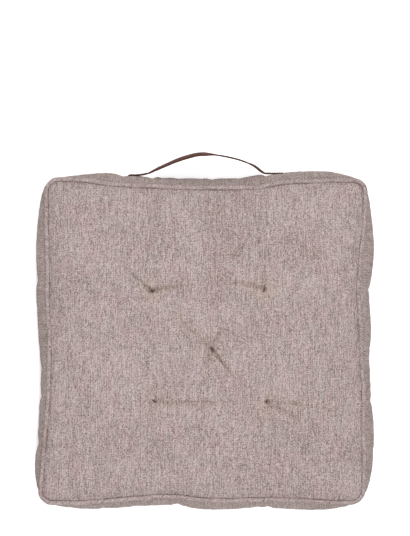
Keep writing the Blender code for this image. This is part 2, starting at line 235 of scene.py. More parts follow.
plan = face_plan()
columns, rows = plan.shape[:2]
flat_plan = plan.reshape(-1, 2)
loop = seam_loop()
inward, _ = seam_distance(flat_plan, loop)
rise = FACE_RISE * (1 - np.exp(-inward / FACE_RISE_REACH))
rise = rise + CROWN_RISE * (1 - np.exp(-inward / CROWN_REACH))
dip = TUFT_DEPTH * tuft_pull(flat_plan)
top_z = SEAM_HEIGHT["top"] - UNDER_SEAM + rise - dip
bottom_z = SEAM_HEIGHT["bottom"] + UNDER_SEAM - rise + dip
# The underside flattens where it rests, without a crisp edge.
REST_EDGE = 0.0006
bottom_z = REST_EDGE * np.logaddexp(0, bottom_z / REST_EDGE)

cushion = bmesh.new()
weave = cushion.loops.layers.uv.new("weave")
UNDERSIDE_CUT = (1.3, 0.7)  # the underside is cut from another part of the bolt
top = [cushion.verts.new((x, y, z)) for (x, y), z in zip(flat_plan, top_z)]
bottom = [cushion.verts.new((x, y, z)) for (x, y), z in zip(flat_plan, bottom_z)]


def spot_at(i, j):
    """The number of the panel's point in column i and row j."""
    return i * rows + j


def weave_face(corners, places):
    """One cell of cloth, with its place in the weave in metres."""
    cell = cushion.faces.new(corners)
    cell.smooth = True
    for stitch, place in zip(cell.loops, places):
        stitch[weave].uv = place


for i in range(columns - 1):
    for j in range(rows - 1):
        around = [spot_at(i, j), spot_at(i + 1, j), spot_at(i + 1, j + 1), spot_at(i, j + 1)]
        weave_face([top[c] for c in around], [flat_plan[c] for c in around])
        around.reverse()
        weave_face([bottom[c] for c in around], [flat_plan[c] + UNDERSIDE_CUT for c in around])

edge = {
    "front": [spot_at(i, 0) for i in range(columns)],
    "right": [spot_at(columns - 1, j) for j in range(rows)],
    "back": [spot_at(i, rows - 1) for i in reversed(range(columns))],
    "left": [spot_at(0, j) for j in reversed(range(rows))],
}
side_shares = {
    "front": across_lines,
    "right": up_lines,
    "back": -across_lines[::-1],
    "left": -up_lines[::-1],
}
low_edge = SEAM_HEIGHT["bottom"] + UNDER_SEAM
high_edge = SEAM_HEIGHT["top"] - UNDER_SEAM
heights = np.linspace(-BOXING_SWEEP, BOXING_SWEEP, BOXING_ROWS + 1)
ROW_CLOTH = 0.0047  # cloth between two rows of the boxing
STRIP_CUT = (0.61, 2.1)  # how far apart on the bolt the four strips are cut
corner_posts = {}
for number, side in enumerate(ORDER):
    shares = side_shares[side]
    line, swell = side_line(side, shares)
    normal = np.gradient(line, axis=0)
    normal = np.stack([normal[:, 1], -normal[:, 0]], -1)
    normal /= np.linalg.norm(normal, axis=1)[:, None]
    posts = []
    for k in range(len(shares)):
        post = []
        for r, angle in enumerate(heights):
            if r == 0:
                post.append(bottom[edge[side][k]])
            elif r == BOXING_ROWS:
                post.append(top[edge[side][k]])
            elif k == 0 and side in corner_posts:
                post.append(corner_posts[side][r])
            elif k == len(shares) - 1 and side == ORDER[-1]:
                post.append(corner_posts[ORDER[0]][r])
            else:
                bulge = (math.cos(angle) - math.cos(BOXING_SWEEP)) / (1 - math.cos(BOXING_SWEEP))
                x, y = line[k] + normal[k] * swell[k] * bulge
                half_height = (high_edge - low_edge) / 2
                z = low_edge + half_height * (1 + math.sin(angle) / math.sin(BOXING_SWEEP))
                post.append(cushion.verts.new((x, y, z)))
        posts.append(post)
    corner_posts.setdefault(side, posts[0])
    corner_posts.setdefault(ORDER[(number + 1) % 4], posts[-1])
    length = np.concatenate([[0], np.cumsum(np.linalg.norm(np.diff(line, axis=0), axis=1))])
    for k in range(len(shares) - 1):
        for r in range(BOXING_ROWS):
            post, following = posts[k], posts[k + 1]
            spots = [(length[k], r), (length[k + 1], r), (length[k + 1], r + 1), (length[k], r + 1)]
            places = [(STRIP_CUT[0] * number + a, STRIP_CUT[1] + ROW_CLOTH * b) for a, b in spots]
            weave_face([post[r], following[r], following[r + 1], post[r + 1]], places)

cover_mesh = bpy.data.meshes.new("cushion_cover")
cushion.normal_update()
cushion.to_mesh(cover_mesh)
cushion.free()
cover = bpy.data.objects.new("cushion_cover", cover_mesh)
bpy.context.scene.collection.objects.link(cover)


def points_of(mesh):
    """A mesh's points as an array."""
    found = np.zeros(len(mesh.vertices) * 3)
    mesh.vertices.foreach_get("co", found)
    return found.reshape(-1, 3)


HELD_AT_TUFT = 0.003
FILLING_STEPS = 20


def fill_cover():
    """The cover's points after it is blown up, held at its seams and tufts, by cloth simulation."""
    held = cover.vertex_groups.new(name="held")
    seam_index = sorted({e for name in ORDER for e in edge[name]})
    offset = columns * rows
    held.add(seam_index + [e + offset for e in seam_index], 1.0, "REPLACE")
    for layer in (0, offset):
        for tuft in TUFTS:
            near = np.hypot(flat_plan[:, 0] - tuft.x, flat_plan[:, 1] - tuft.y)
            for e in np.nonzero(near < HELD_AT_TUFT)[0]:
                held.add([int(e) + layer], 1.0, "REPLACE")
    cloth = cover.modifiers.new("fill", "CLOTH")
    settings = cloth.settings
    settings.quality = 4
    settings.mass = 0.25
    settings.tension_stiffness = 12
    settings.compression_stiffness = 8
    settings.shear_stiffness = 4
    settings.bending_stiffness = 0.4
    settings.shrink_min = -0.022
    settings.use_pressure = True
    settings.uniform_pressure_force = 4
    settings.vertex_group_mass = "held"
    settings.pin_stiffness = 1
    settings.effector_weights.gravity = 0
    cloth.collision_settings.use_collision = False
    cloth.point_cache.frame_start = 1
    cloth.point_cache.frame_end = FILLING_STEPS
    for step in range(1, FILLING_STEPS + 1):
        bpy.context.scene.frame_set(step)
    settled = points_of(cover.evaluated_get(bpy.context.evaluated_depsgraph_get()).data)
    cover.modifiers.remove(cloth)
    cover.vertex_groups.clear()
    bpy.context.scene.frame_set(1)
    return settled


# The panels' shape is already right, so only the fine creases that the filling makes are kept: the
# move of each point less the smooth move of the cloth round it.
MOST_CREASE = 0.004
SMOOTHINGS = 24
shaped = points_of(cover_mesh)
moved = fill_cover() - shaped
ends = np.zeros(len(cover_mesh.edges) * 2, int)
cover_mesh.edges.foreach_get("vertices", ends)
ends = ends.reshape(-1, 2)
partners = np.bincount(ends.ravel(), minlength=len(shaped))[:, None]
gentle = moved.copy()
for _ in range(SMOOTHINGS):
    total = np.zeros_like(gentle)
    np.add.at(total, ends[:, 0], gentle[ends[:, 1]])
    np.add.at(total, ends[:, 1], gentle[ends[:, 0]])
    gentle = 0.5 * gentle + 0.5 * total / partners
creases = moved - gentle
size = np.linalg.norm(creases, axis=1)[:, None]
creases *= np.minimum(1, MOST_CREASE / np.maximum(size, 1e-9))
cover_mesh.vertices.foreach_set("co", (shaped + creases).ravel())

finer = cover.modifiers.new("finer", "SUBSURF")
finer.levels = finer.render_levels = 1
graph = bpy.context.evaluated_depsgraph_get()
fine_mesh = bpy.data.meshes.new_from_object(cover.evaluated_get(graph))
cover.modifiers.clear()
cover.data = fine_mesh
fine_mesh.name = "cushion_cover"


# Creases drawn in the panels between and away from the tufts: the points that each one follows,
# starting at its tuft, its depth and its half width
CREASES = (
    (((-0.078, 0.0750), (-0.095, 0.0885), (-0.112, 0.1050), (-0.1185, 0.1180)), 0.0030, 0.0021),
    (((-0.078, 0.0750), (-0.061, 0.0785), (-0.041, 0.0835), (-0.008, 0.0825)), 0.0028, 0.0022),
    (((0.0865, 0.0790), (0.062, 0.0850), (0.039, 0.0885), (0.014, 0.0895)), 0.0024, 0.0021),
    (((0.0865, 0.0760), (0.0870, 0.0980), (0.0880, 0.1280)), 0.0017, 0.0022),
    (((0.0110, -0.0115), (0.0190, -0.0215), (0.0370, -0.0420), (0.0520, -0.0590)), 0.0042, 0.0019),
    (((0.0080, -0.0080), (-0.0145, 0.0170), (-0.0440, 0.0390), (-0.0690, 0.0630)), 0.0012, 0.0026),
    (((0.0105, -0.0080), (0.0240, 0.0150), (0.0310, 0.0300)), 0.0015, 0.0022),
    (((0.0080, -0.0110), (0.0035, -0.0400), (0.0015, -0.0640)), 0.0010, 0.0022),
    (((-0.0730, -0.0868), (-0.0400, -0.0885), (-0.0145, -0.0890), (0.0145, -0.0848),
      (0.0490, -0.0880)), 0.0018, 0.0022),
    (((0.0905, -0.0872), (0.1050, -0.0975), (0.1250, -0.1055), (0.1400, -0.1140),
      (0.1500, -0.1190)), 0.0026, 0.0021),
    (((0.0940, -0.0860), (0.1450, -0.0900), (0.1800, -0.0960), (0.2090, -0.1020)), 0.0018, 0.0020),
)
CREASES_DEEPEST = max(depth for _, depth, _ in CREASES)
CREASE_SHOULDER = 0.22  # the cloth stands up this share of a crease's depth beside it
# Painted shade along the creases: a soft darker band, and a thin dark fold line of this half width
CREASE_SHADE = 0.13
FOLD_LINE = 0.0009
FOLD_LINE_SHADE = 0.55
# At each tuft: the pit, the small pleats round it, and a hole for each end of the stitch, with painted
# shade in each hole
PIT_DEPTH = 0.0012
PIT_REACH = 0.0032
PLEATS = 9
PLEAT_DEPTH = 0.0008
PLEAT_START = 0.004
PLEAT_REACH = 0.013
STITCH_HALF = 0.0021
STITCH_TURNS = (0, 82, -42, -38, 70)  # degrees, the way each stitch lies
HOLE_DEPTH = 0.0020
HOLE_REACH = 0.0009
HOLE_SHADE = 0.3
# How far the cloth is warmer and duller from handling, round a tuft and beside a crease
HANDLED_REACH = 0.019
HANDLED_CREASE = 0.006
# Gathers along the seams: their spacing, height and phase, and where they start and die out
GATHERS = ((0.0113, 0.00035, 0.3), (0.0171, 0.00040, 1.9), (0.0293, 0.00035, 4.1))
GATHER_START = 0.0025
GATHER_REACH = 0.012
# The painted shade in the seam beside the piping, and the thin dark line of painted shade where the cloth
# turns under
SEAM_SHADE = 0.16
SEAM_SHADE_AT = 0.0031
SEAM_SHADE_REACH = 0.0010
SEAM_SHADE_ON_BOXING = 0.35
SEAM_LINE = 0.0014
SEAM_LINE_SHADE = 0.80
# how far apart along the seam the painted shade line grows stronger and weaker
SEAM_LINE_WAVE = 0.127
EDGE_OF_BOXING = 0.001
# Which cloth is the upper face, and which the lower: its height and how far it leans
UPPER_FROM = 0.085
LOWER_TO = 0.020
LEAN = 0.55
# How near a crease or a tuft the cells are split once more, and how near a tuft again
FINER_AT_CREASE = 0.0045
FINER_AT_TUFT = 0.008
FINEST_AT_TUFT = 0.0045


def crease_gap(points, course):
    """Distance of each plan point to a crease, and how far along the crease it is, 0 to 1."""
    course = np.array(course)
    for _ in range(2):
        middle = (course[:-1] + course[1:]) / 2
        softened = course.copy()
        softened[1:-1] = 0.5 * course[1:-1] + 0.25 * (course[:-2] + course[2:])
        course = np.empty((len(softened) + len(middle), 2))
        course[::2] = softened
        course[1::2] = middle
    run = np.concatenate([[0], np.cumsum(np.linalg.norm(np.diff(course, axis=0), axis=1))])
    gap = np.full(len(points), 1.0)
    share = np.zeros(len(points))
    for a, b, start in zip(course[:-1], course[1:], run):
        t = np.clip(((points - a) @ (b - a)) / ((b - a) @ (b - a)), 0, 1)
        away = np.linalg.norm(points - a - t[:, None] * (b - a), axis=1)
        share = np.where(away < gap, (start + t * np.linalg.norm(b - a)) / run[-1], share)
        gap = np.minimum(gap, away)
    return gap, share


def refine_creases(mesh):
    """Splits the cloth's cells once more where a crease or a tuft pit needs finer cloth."""
    spots = points_of(mesh)
    close = np.zeros(len(spots), bool)
    for course, _, _ in CREASES:
        close |= crease_gap(spots[:, :2], course)[0] < FINER_AT_CREASE
    close &= spots[:, 2] > UPPER_FROM
    for tuft in TUFTS:
        close |= np.hypot(spots[:, 0] - tuft.x, spots[:, 1] - tuft.y) < FINER_AT_TUFT
    body = bmesh.new()
    body.from_mesh(mesh)
    chosen = [e for e in body.edges if close[e.verts[0].index] and close[e.verts[1].index]]
    bmesh.ops.subdivide_edges(body, edges=chosen, cuts=1, use_grid_fill=True)
    in_pits = set()
    for tuft in TUFTS:
        in_pits.update(v for v in body.verts if (v.co - tuft).xy.length < FINEST_AT_TUFT)
    chosen = [e for e in body.edges if e.verts[0] in in_pits and e.verts[1] in in_pits]
    bmesh.ops.subdivide_edges(body, edges=chosen, cuts=1, use_grid_fill=True)
    for face in body.faces:
        face.smooth = True
    body.to_mesh(mesh)
    body.free()


refine_creases(fine_mesh)
cloth_points = points_of(fine_mesh)
normals = np.zeros(len(cloth_points) * 3)
fine_mesh.vertex_normals.foreach_get("vector", normals)
normals = normals.reshape(-1, 3)
upper = (normals[:, 2] > LEAN) & (cloth_points[:, 2] > UPPER_FROM)
lower = (normals[:, 2] < -LEAN) & (cloth_points[:, 2] < LOWER_TO)
seam_gap, seam_run = seam_distance(cloth_points[:, :2], loop)


def bell(gap, reach):
    """1 at no distance, fading out over about the reach."""
    return np.exp(-((gap / reach) ** 2))


sink = np.zeros(len(cloth_points))
handled = np.zeros(len(cloth_points))
# Painted shade in the seam beside the piping, weaker on the boxing side
shaded = SEAM_SHADE * bell(np.maximum(seam_gap - SEAM_SHADE_AT, 0), SEAM_SHADE_REACH)
shaded *= np.where(np.abs(normals[:, 2]) > 0.5, 1, SEAM_SHADE_ON_BOXING)
for number, tuft in enumerate(TUFTS):
    offset = cloth_points[:, :2] - (tuft.x, tuft.y)
    away = np.linalg.norm(offset, axis=1)
    turn = np.arctan2(offset[:, 1], offset[:, 0])
    sink += PIT_DEPTH * bell(away, PIT_REACH)
    folds = np.cos(PLEATS * turn + 1.7 * number + 2.2 * np.sin(turn + number))
    sink += PLEAT_DEPTH * folds * np.exp(-away / PLEAT_REACH) * (1 - np.exp(-away / PLEAT_START))
    handled = np.maximum(handled, bell(away, HANDLED_REACH))
    lay = math.radians(STITCH_TURNS[number])
    for end in (-STITCH_HALF, STITCH_HALF):
        gap = np.hypot(offset[:, 0] - end * math.cos(lay), offset[:, 1] - end * math.sin(lay))
        sink += HOLE_DEPTH * bell(gap, HOLE_REACH)
        # painted shade in each needle hole
        shaded = np.maximum(shaded, HOLE_SHADE * bell(gap, HOLE_REACH))
for course, depth, reach in CREASES:
    away, share = crease_gap(cloth_points[:, :2], course)
    fade = np.clip((1 - share) * 1.6, 0, 1) ** 0.8
    hollow = bell(away, reach) - CREASE_SHOULDER * bell(away - 2.3 * reach, reach)
    sink += np.where(upper, depth * fade * hollow, 0)
    handled = np.maximum(handled, 0.7 * fade * bell(away, HANDLED_CREASE))
    # Painted shade along each crease: a soft band and a thin dark fold line
    sharpness = (depth / CREASES_DEEPEST) ** 1.5
    tone = CREASE_SHADE * bell(away, 1.3 * reach) + FOLD_LINE_SHADE * sharpness * bell(away, FOLD_LINE)
    shaded = np.maximum(shaded, np.where(upper, fade * tone, 0))

# The painted shade line along the seams is stronger on the front and back seams than on the side ones, and
# stronger here and there along each.
longwise = 1 / (1 + np.exp((np.abs(cloth_points[:, 0]) - np.abs(cloth_points[:, 1])) / 0.012))
seam_line_strength = 1 + 0.32 * np.sin(2 * math.pi * seam_run / SEAM_LINE_WAVE + 0.6)
seam_line_strength *= 0.34 + 0.60 * longwise
seam_edge = (seam_gap - SEAM_SHADE_AT) / (SEAM_LINE * seam_line_strength)

gather = np.zeros(len(cloth_points))
for length, height, phase in GATHERS:
    gather += height * np.sin(2 * math.pi * seam_run / length + phase + 1.4 * np.sin(seam_run * 23 + phase))
gather *= np.exp(-seam_gap / GATHER_REACH) * (1 - np.exp(-seam_gap / GATHER_START))
shift = np.where(upper | lower, -sink, 0) + gather
cloth_points = cloth_points + normals * shift[:, None]
cloth_points[:, 2] = np.maximum(cloth_points[:, 2], 0)
fine_mesh.vertices.foreach_set("co", cloth_points.ravel())
from_middle = np.abs(cloth_points[:, 2] - (low_edge + high_edge) / 2)
boxing = from_middle < (high_edge - low_edge) / 2 - EDGE_OF_BOXING
cloth_marks = {"handled": handled, "shaded": shaded, "seam_edge": seam_edge, "boxing": boxing}
for name, values in cloth_marks.items():
    mark = fine_mesh.attributes.new(name, "FLOAT", "POINT")
    mark.data.foreach_set("value", values.astype(np.float32))
fine_mesh.update()


def shader(name, rough, sheen=0.0):
    """A new material with its tree cleared down to one Principled shader."""
    made = bpy.data.materials.new(name)
    made.use_nodes = True
    made.node_tree.nodes.clear()
    skin = made.node_tree.nodes.new("ShaderNodeBsdfPrincipled")
    output = made.node_tree.nodes.new("ShaderNodeOutputMaterial")
    made.node_tree.links.new(skin.outputs["BSDF"], output.inputs["Surface"])
    skin.inputs["Roughness"].default_value = rough
    skin.inputs["Sheen Weight"].default_value = sheen
    skin.inputs["Sheen Roughness"].default_value = 0.5
    skin.inputs["Specular IOR Level"].default_value = 0.25
    return made, made.node_tree, skin


def reckon(tree, kind, *values):
    """A Math node; values are numbers or sockets."""
    step = tree.nodes.new("ShaderNodeMath")
    step.operation = kind
    for socket, value in zip(step.inputs, values):
        if isinstance(value, (int, float)):
            socket.default_value = value
        else:
            tree.links.new(value, socket)
    return step.outputs[0]


def weave_place(tree):
    """The place in the weave, in metres."""
    layout = tree.nodes.new("ShaderNodeUVMap")
    layout.uv_map = "weave"
    return layout.outputs["UV"]


def uneven(tree, place, detail, roughness):
    """Soft noise, one mark to about two units."""
    noise = tree.nodes.new("ShaderNodeTexNoise")
    noise.noise_dimensions = "2D"
    noise.inputs["Scale"].default_value = 1.0
    noise.inputs["Detail"].default_value = detail
    noise.inputs["Roughness"].default_value = roughness
    tree.links.new(place, noise.inputs["Vector"])
    return noise.outputs["Fac"]


def threads(tree, place, mark, detail=1.0):
    """Noise drawn out along the yarn: mark is the size of one mark across and along, in metres."""
    stretch = tree.nodes.new("ShaderNodeMapping")
    stretch.inputs["Scale"].default_value = (0.5 / mark[0], 0.5 / mark[1], 1)
    tree.links.new(place, stretch.inputs["Vector"])
    return uneven(tree, stretch.outputs["Vector"], detail, 0.55)


def either(tree, factor, first, second):
    """A Mix node for two numbers."""
    mix = tree.nodes.new("ShaderNodeMix")
    tree.links.new(factor, mix.inputs[0])
    tree.links.new(first, mix.inputs[2])
    tree.links.new(second, mix.inputs[3])
    return mix.outputs[0]


def blend_colour(tree, factor, first, second):
    """A Mix node for two colours, each a tuple or a socket."""
    mix = tree.nodes.new("ShaderNodeMix")
    mix.data_type = "RGBA"
    tree.links.new(factor, mix.inputs[0])
    for socket, value in ((mix.inputs[6], first), (mix.inputs[7], second)):
        if isinstance(value, tuple):
            socket.default_value = (*value, 1)
        else:
            tree.links.new(value, socket)
    return mix.outputs[2]


def cloth_mark(tree, name):
    """One of the marks stored in the cloth's points."""
    mark = tree.nodes.new("ShaderNodeAttribute")
    mark.attribute_name = name
    return mark.outputs["Fac"]


def bumped(tree, skin, height, strength, distance):
    """Raises the surface by a height from 0 to 1, in metres at most the distance."""
    bump = tree.nodes.new("ShaderNodeBump")
    bump.inputs["Strength"].default_value = strength
    bump.inputs["Distance"].default_value = distance
    tree.links.new(height, bump.inputs["Height"])
    tree.links.new(bump.outputs["Normal"], skin.inputs["Normal"])


def from_to(tree, value, low, high):
    """0 at low, 1 at high, and no further either way."""
    step = tree.nodes.new("ShaderNodeMapRange")
    step.inputs["From Min"].default_value = low
    step.inputs["From Max"].default_value = high
    tree.links.new(value, step.inputs["Value"])
    return step.outputs["Result"]


# The canvas: its yarn, and how much the parts of the weave show. A mark is a size across and along.
YARN = 0.00108
SLUB_LENGTH = 0.0240
WEFT_SLUB_LENGTH = SLUB_LENGTH / 1.6
WARP_WANDER = (0.016, 0.022)
WEFT_WANDER = (0.021, 0.015)
WANDER_YARNS = 2.0
WARP_SHOW = 0.60
WARP_GAIN = 1.5
WEFT_GAIN = 0.7
CROSSING_GAIN = 1.03
YARN_EDGE_SHADE = 0.40
STREAK = (0.0010, 0.0280)
STREAK_GAIN = 0.34
PATCH = (0.020, 0.026)
PATCH_GAIN = 0.18
WIDE_PATCH = (0.050, 0.060)
WIDE_PATCH_GAIN = 0.26
RIB = 0.0033
RIB_RUN = (0.0035, 0.0110)
WARP_RIB_GAIN = 0.19
WEFT_RIB_GAIN = 0.09
SLUB = (0.0007, 0.0045)
SLUB_SHOW = 0.30
FLECK = (0.0009, 0.0026)
FLECK_SHOW = 0.75
HUE = (0.0030, 0.0060)
HUE_CLOUD = (0.0150, 0.0200)
DARK_YARN = (0.158, 0.108, 0.090)
PALE_YARN = (0.524, 0.434, 0.436)
PALE_SLUB = (0.48, 0.39, 0.37)
DARK_FLECK = (0.105, 0.075, 0.066)
PINK_CAST = (1.03, 0.980, 0.990)
GREY_CAST = (0.965, 1.015, 1.005)
HANDLED_CAST = (1.00, 0.975, 0.88)
# the boxing strips painted darker and browner: a browner tone and painted shade on the sides
BOXING_SHADE_AND_CAST = (0.950, 0.935, 0.895)


def yarn_tone(tree, number, along):
    """The uneven tone of each yarn along its own length; no two neighbours match."""
    place = tree.nodes.new("ShaderNodeCombineXYZ")
    tree.links.new(reckon(tree, "MULTIPLY", number, 13.71), place.inputs[0])
    tree.links.new(along, place.inputs[1])
    return uneven(tree, place.outputs[0], 2.0, 0.70)


def slub_canvas(name, bias=0.0, painted=False):
    """Heathered plain weave: uneven warp yarns, thinner weft, pale slubs and dark flecks."""
    made, tree, skin = shader(name, 0.92, 0.08)

    def work(kind, *values):
        return reckon(tree, kind, *values)

    def marked(level, noise, gain):
        """The level with noise added that leaves its middle where it was."""
        return work("MULTIPLY_ADD", noise, gain, work("SUBTRACT", level, 0.5 * gain))

    place = weave_place(tree)
    if bias:
        turn = tree.nodes.new("ShaderNodeMapping")
        turn.inputs["Rotation"].default_value = (0, 0, bias)
        tree.links.new(place, turn.inputs["Vector"])
        place = turn.outputs["Vector"]
    split = tree.nodes.new("ShaderNodeSeparateXYZ")
    tree.links.new(place, split.inputs[0])
    across, along = split.outputs[0], split.outputs[1]

    # Count the yarns across and along the cloth, each wandering a little off its line.
    wander = threads(tree, place, WARP_WANDER)
    drift = threads(tree, place, WEFT_WANDER)
    over = work("ADD", work("MULTIPLY", across, 1 / YARN), work("MULTIPLY", wander, WANDER_YARNS))
    down = work("ADD", work("MULTIPLY", along, 1 / YARN), work("MULTIPLY", drift, WANDER_YARNS))
    end_number = work("FLOOR", over)
    pick_number = work("FLOOR", down)

    # The tone of the yarn on top: warp or weft by turns, but the thicker warp shows past the weft.
    warp = yarn_tone(tree, end_number, work("MULTIPLY", along, 1 / SLUB_LENGTH))
    weft = yarn_tone(tree, pick_number, work("MULTIPLY", across, 1 / WEFT_SLUB_LENGTH))
    lifted = work("ABSOLUTE", work("MODULO", work("ADD", end_number, pick_number), 2.0))
    warp_level = work("MULTIPLY_ADD", warp, WARP_GAIN, 1 - 0.5 * WARP_GAIN)
    weft_level = work("MULTIPLY_ADD", weft, WEFT_GAIN, 1 - 0.5 * WEFT_GAIN)
    warp_showing = work("MULTIPLY_ADD", lifted, 1 - WARP_SHOW, WARP_SHOW)
    showing = either(tree, warp_showing, weft_level, warp_level)
    crossing = tree.nodes.new("ShaderNodeCombineXYZ")
    tree.links.new(end_number, crossing.inputs[0])
    tree.links.new(pick_number, crossing.inputs[1])
    speck = tree.nodes.new("ShaderNodeTexWhiteNoise")
    speck.noise_dimensions = "2D"
    tree.links.new(crossing.outputs[0], speck.inputs["Vector"])
    level = marked(showing, speck.outputs["Value"], CROSSING_GAIN)
    patches = threads(tree, place, PATCH)
    level = marked(level, threads(tree, place, STREAK), STREAK_GAIN)
    level = marked(level, patches, PATCH_GAIN)
    level = marked(level, threads(tree, place, WIDE_PATCH), WIDE_PATCH_GAIN)

    # Each yarn is round, so painted shade darkens it at its two edges, and the reed leaves faint ribs.
    end_round = work("SINE", work("MULTIPLY", work("FRACT", over), math.pi))
    pick_round = work("SINE", work("MULTIPLY", work("FRACT", down), math.pi))
    crown = either(tree, lifted, pick_round, end_round)
    level = work("MULTIPLY_ADD", work("SUBTRACT", crown, 2 / math.pi), YARN_EDGE_SHADE, level)
    for course, gain, run in ((over, WARP_RIB_GAIN, RIB_RUN), (down, WEFT_RIB_GAIN, RIB_RUN[::-1])):
        rib = work("SINE", work("MULTIPLY", course, 2 * math.pi * YARN / RIB))
        fullness = from_to(tree, threads(tree, place, run), 0.38, 0.72)
        level = work("MULTIPLY_ADD", work("MULTIPLY", rib, fullness), gain, level)
    if painted:
        # Painted shade from the cloth's marks: darker in the seams, creases and needle holes, and a thin
        # dark line of painted shade beside the piping on the panels
        boxing = cloth_mark(tree, "boxing")
        seam_shade_line = from_to(tree, cloth_mark(tree, "seam_edge"), 1.0, 0.0)
        line = work("MULTIPLY", seam_shade_line, work("SUBTRACT", 1.0, boxing))
        level = work("SUBTRACT", level, cloth_mark(tree, "shaded"))
        level = work("MULTIPLY_ADD", line, -SEAM_LINE_SHADE, level)
    colour = blend_colour(tree, from_to(tree, level, 0.4, 1.6), DARK_YARN, PALE_YARN)

    # The dye is a little pinker here and greyer there, and warmer where the cloth is handled; the boxing
    # strips are darker and browner, partly a browner tone and partly painted shade.
    hue = work("ADD", threads(tree, place, HUE, 2.0), threads(tree, place, HUE_CLOUD, 2.0))
    cast = blend_colour(tree, from_to(tree, hue, 0.70, 1.30), PINK_CAST, GREY_CAST)
    if painted:
        warmer = work("MULTIPLY", cloth_mark(tree, "handled"), from_to(tree, patches, 0.30, 0.60))
        cast = blend_colour(tree, warmer, cast, HANDLED_CAST)
        # Painted shade and a browner tone on the boxing strips
        cast = blend_colour(tree, boxing, cast, BOXING_SHADE_AND_CAST)
    toned = tree.nodes.new("ShaderNodeVectorMath")
    toned.operation = "MULTIPLY"
    tree.links.new(colour, toned.inputs[0])
    tree.links.new(cast, toned.inputs[1])
    slubs = from_to(tree, threads(tree, place, SLUB, 0.0), 0.68, 0.76)
    flecks = from_to(tree, threads(tree, place, FLECK, 0.0), 0.80, 0.86)
    colour = blend_colour(tree, work("MULTIPLY", slubs, SLUB_SHOW), toned.outputs[0], PALE_SLUB)
    colour = blend_colour(tree, work("MULTIPLY", flecks, FLECK_SHOW), colour, DARK_FLECK)
    tree.links.new(colour, skin.inputs["Base Color"])
    bumped(tree, skin, work("MULTIPLY_ADD", showing, 0.8, crown), 0.7, 0.0004)
    return made


cover_canvas = slub_canvas("slub_canvas", painted=True)
fine_mesh.materials.clear()
fine_mesh.materials.append(cover_canvas)
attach(cover, "cushion")
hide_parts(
    "top_panel", "bottom_panel",
    "boxing_front", "boxing_back", "boxing_left", "boxing_right", "filling",
)


# ---------------------------------------------------------------------------------------------
# Piping. A cotton cord wrapped in a bias strip of the same canvas, caught in the seam all round
# the top and again round the bottom; it rolls a little where the sewing eased it.

PIPING_STEPS = 128
PIPING_SIDES = 14
# Waves along the piping, each told by its height, its pace and its start
PIPING_ROLL = ((0.00035, 61, 1), (0.00025, 143, 0))
PIPING_LIFT = ((0.0004, 27, 2), (0.0003, 88, 0))
PIPING_PLUMP = ((0.04, 200, 0), (0.03, 517, 0))


def wavering(run, waves):
    """The waves added up at each length along a seam."""
    return sum(height * np.sin(run * pace + start) for height, pace, start in waves)


def sweep(name, path, radius, sides, closed):
    """A tube of cloth or thread along a path, with its place in the weave in metres."""
    path = np.asarray(path, float)
    count = len(path)
    if closed:
        ahead = np.roll(path, -1, 0) - np.roll(path, 1, 0)
    else:
        ahead = np.gradient(path, axis=0)
    ahead /= np.linalg.norm(ahead, axis=1)[:, None]
    radius = np.broadcast_to(radius, (count,))
    steady = np.array([0.0, 0.0, 1.0])
    body = bmesh.new()
    uv = body.loops.layers.uv.new("weave")
    rings = []
    for here, along, size in zip(path, ahead, radius):
        if abs(along @ steady) > 0.95:
            side = np.cross(along, (1.0, 0.0, 0.0))
        else:
            side = np.cross(along, steady)
        side /= np.linalg.norm(side)
        lift = np.cross(side, along)
        turns = np.linspace(0, 2 * math.pi, sides, endpoint=False)
        ring = [here + size * (math.cos(turn) * side + math.sin(turn) * lift) for turn in turns]
        rings.append([body.verts.new(spot) for spot in ring])
    run = np.concatenate([[0], np.cumsum(np.linalg.norm(np.diff(path, axis=0), axis=1))])
    step = 2 * math.pi * radius.mean() / sides
    for k in range(count if closed else count - 1):
        ring, following = rings[k], rings[(k + 1) % count]
        end = run[k + 1] if k + 1 < count else run[-1] + np.linalg.norm(path[0] - path[-1])
        for s in range(sides):
            around = (s + 1) % sides
            face = body.faces.new((ring[s], ring[around], following[around], following[s]))
            face.smooth = True
            places = ((run[k], s), (run[k], s + 1), (end, s + 1), (end, s))
            for corner, (along, across) in zip(face.loops, places):
                corner[uv].uv = (along, across * step)
    if not closed:
        body.faces.new(list(reversed(rings[0])))
        body.faces.new(rings[-1])
    bmesh.ops.recalc_face_normals(body, faces=body.faces)
    mesh = bpy.data.meshes.new(name)
    body.to_mesh(mesh)
    body.free()
    piece = bpy.data.objects.new(name, mesh)
    bpy.context.scene.collection.objects.link(piece)
    return piece


piping_canvas = slub_canvas("bias_canvas", math.radians(45))
for level in ("top", "bottom"):
    line = seam_loop(PIPING_STEPS)
    run = np.concatenate([[0], np.cumsum(np.linalg.norm(np.diff(line, axis=0), axis=1))])
    rise = wavering(run, PIPING_LIFT)
    if level == "bottom":
        rise = np.abs(rise)
    normal = np.roll(line, -1, 0) - np.roll(line, 1, 0)
    normal = np.stack([normal[:, 1], -normal[:, 0]], -1)
    normal /= np.linalg.norm(normal, axis=1)[:, None]
    line = line + normal * wavering(run, PIPING_ROLL)[:, None]
    path = np.column_stack([line, SEAM_HEIGHT[level] + rise])
    size = PIPING_RADIUS * (1 + wavering(run, PIPING_PLUMP))
    piping = sweep(f"{level}_piping_cover", path, size, PIPING_SIDES, True)
    piping.data.materials.append(piping_canvas)
    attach(piping, "cushion")
    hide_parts(f"{level}_piping", f"{level}_piping_cord")


# ---------------------------------------------------------------------------------------------
# Tufts. Waxed brown twine passed through the whole cushion twice and drawn tight, so that only a
# short stitch shows at the bottom of each pit, above and below.

TWINE = 0.0009
TWINE_BEND = 1.6 * TWINE
TWINE_PLY = 0.0012
TWINE_STANDS = 0.0006  # how far the middle of a stitch lies off the cloth
